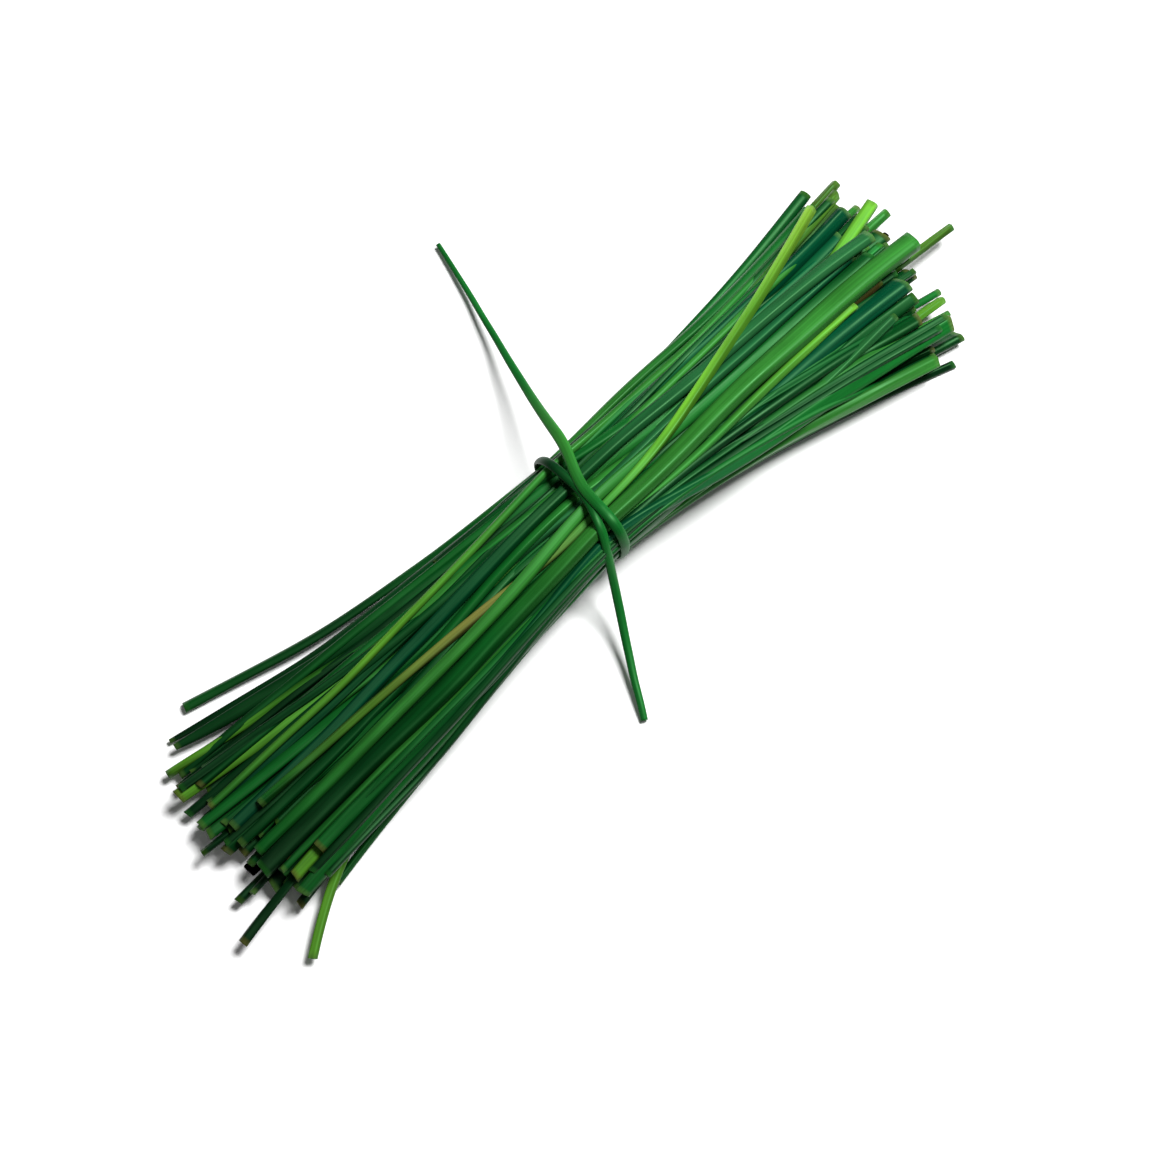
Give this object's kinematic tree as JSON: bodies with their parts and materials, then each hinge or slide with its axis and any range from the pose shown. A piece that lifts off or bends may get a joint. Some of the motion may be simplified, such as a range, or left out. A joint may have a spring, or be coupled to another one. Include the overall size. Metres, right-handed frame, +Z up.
{
  "type": "cut chive bunch",
  "caption": "Loose bunch of slender trimmed chive leaves lying flat, fanned out at both ends and tied round the middle with one more leaf whose two ends trail free.",
  "frame": {"origin": "the middle of the bunch's box, on the surface that it lies on", "axes": "+X along the leaves towards their wide pale base ends, +Y across the bunch towards the tie's long free end, +Z up"},
  "size_m": [0.2084, 0.109, 0.0233],
  "materials": {
    "dark_leaf": "satin dark green leaf skin with fine lengthwise ribs",
    "green_leaf": "satin mid-green leaf skin with fine lengthwise ribs",
    "teal_leaf": "satin blue-green leaf skin with a faint waxy bloom",
    "lime_leaf": "satin yellow-green leaf skin with fine lengthwise ribs",
    "tie_leaf": "satin dark green leaf skin, pressed flat where it bends"
  },
  "bodies": {
    "root": {"leaf_01": "dark_leaf", "leaf_02": "green_leaf", "leaf_03": "teal_leaf", "leaf_04": "dark_leaf", "leaf_05": "green_leaf", "leaf_06": "teal_leaf", "leaf_07": "dark_leaf", "leaf_08": "green_leaf", "leaf_09": "teal_leaf", "leaf_10": "dark_leaf", "leaf_11": "green_leaf", "leaf_12": "teal_leaf", "leaf_13": "dark_leaf", "leaf_14": "green_leaf", "leaf_15": "teal_leaf", "leaf_16": "dark_leaf", "leaf_17": "green_leaf", "leaf_18": "teal_leaf", "leaf_19": "dark_leaf", "leaf_20": "green_leaf", "leaf_21": "teal_leaf", "leaf_22": "dark_leaf", "leaf_23": "green_leaf", "leaf_24": "teal_leaf", "leaf_25": "dark_leaf", "leaf_26": "green_leaf", "leaf_27": "green_leaf", "leaf_28": "dark_leaf", "leaf_29": "dark_leaf", "leaf_30": "dark_leaf", "leaf_31": "dark_leaf", "leaf_32": "green_leaf", "leaf_33": "dark_leaf", "leaf_34": "green_leaf", "leaf_35": "dark_leaf", "leaf_36": "green_leaf", "leaf_37": "lime_leaf", "leaf_38": "green_leaf", "leaf_39": "lime_leaf", "leaf_40": "lime_leaf", "leaf_41": "green_leaf", "leaf_42": "dark_leaf", "leaf_43": "dark_leaf", "leaf_44": "dark_leaf", "leaf_45": "teal_leaf", "leaf_46": "teal_leaf", "leaf_47": "green_leaf", "leaf_48": "green_leaf", "leaf_49": "green_leaf", "leaf_50": "lime_leaf", "leaf_51": "lime_leaf", "leaf_52": "green_leaf", "leaf_53": "teal_leaf", "leaf_54": "lime_leaf", "leaf_55": "teal_leaf", "leaf_56": "green_leaf", "leaf_57": "lime_leaf", "leaf_58": "green_leaf", "leaf_59": "lime_leaf", "tie_leaf": "tie_leaf"}
  },
  "joints": []
}
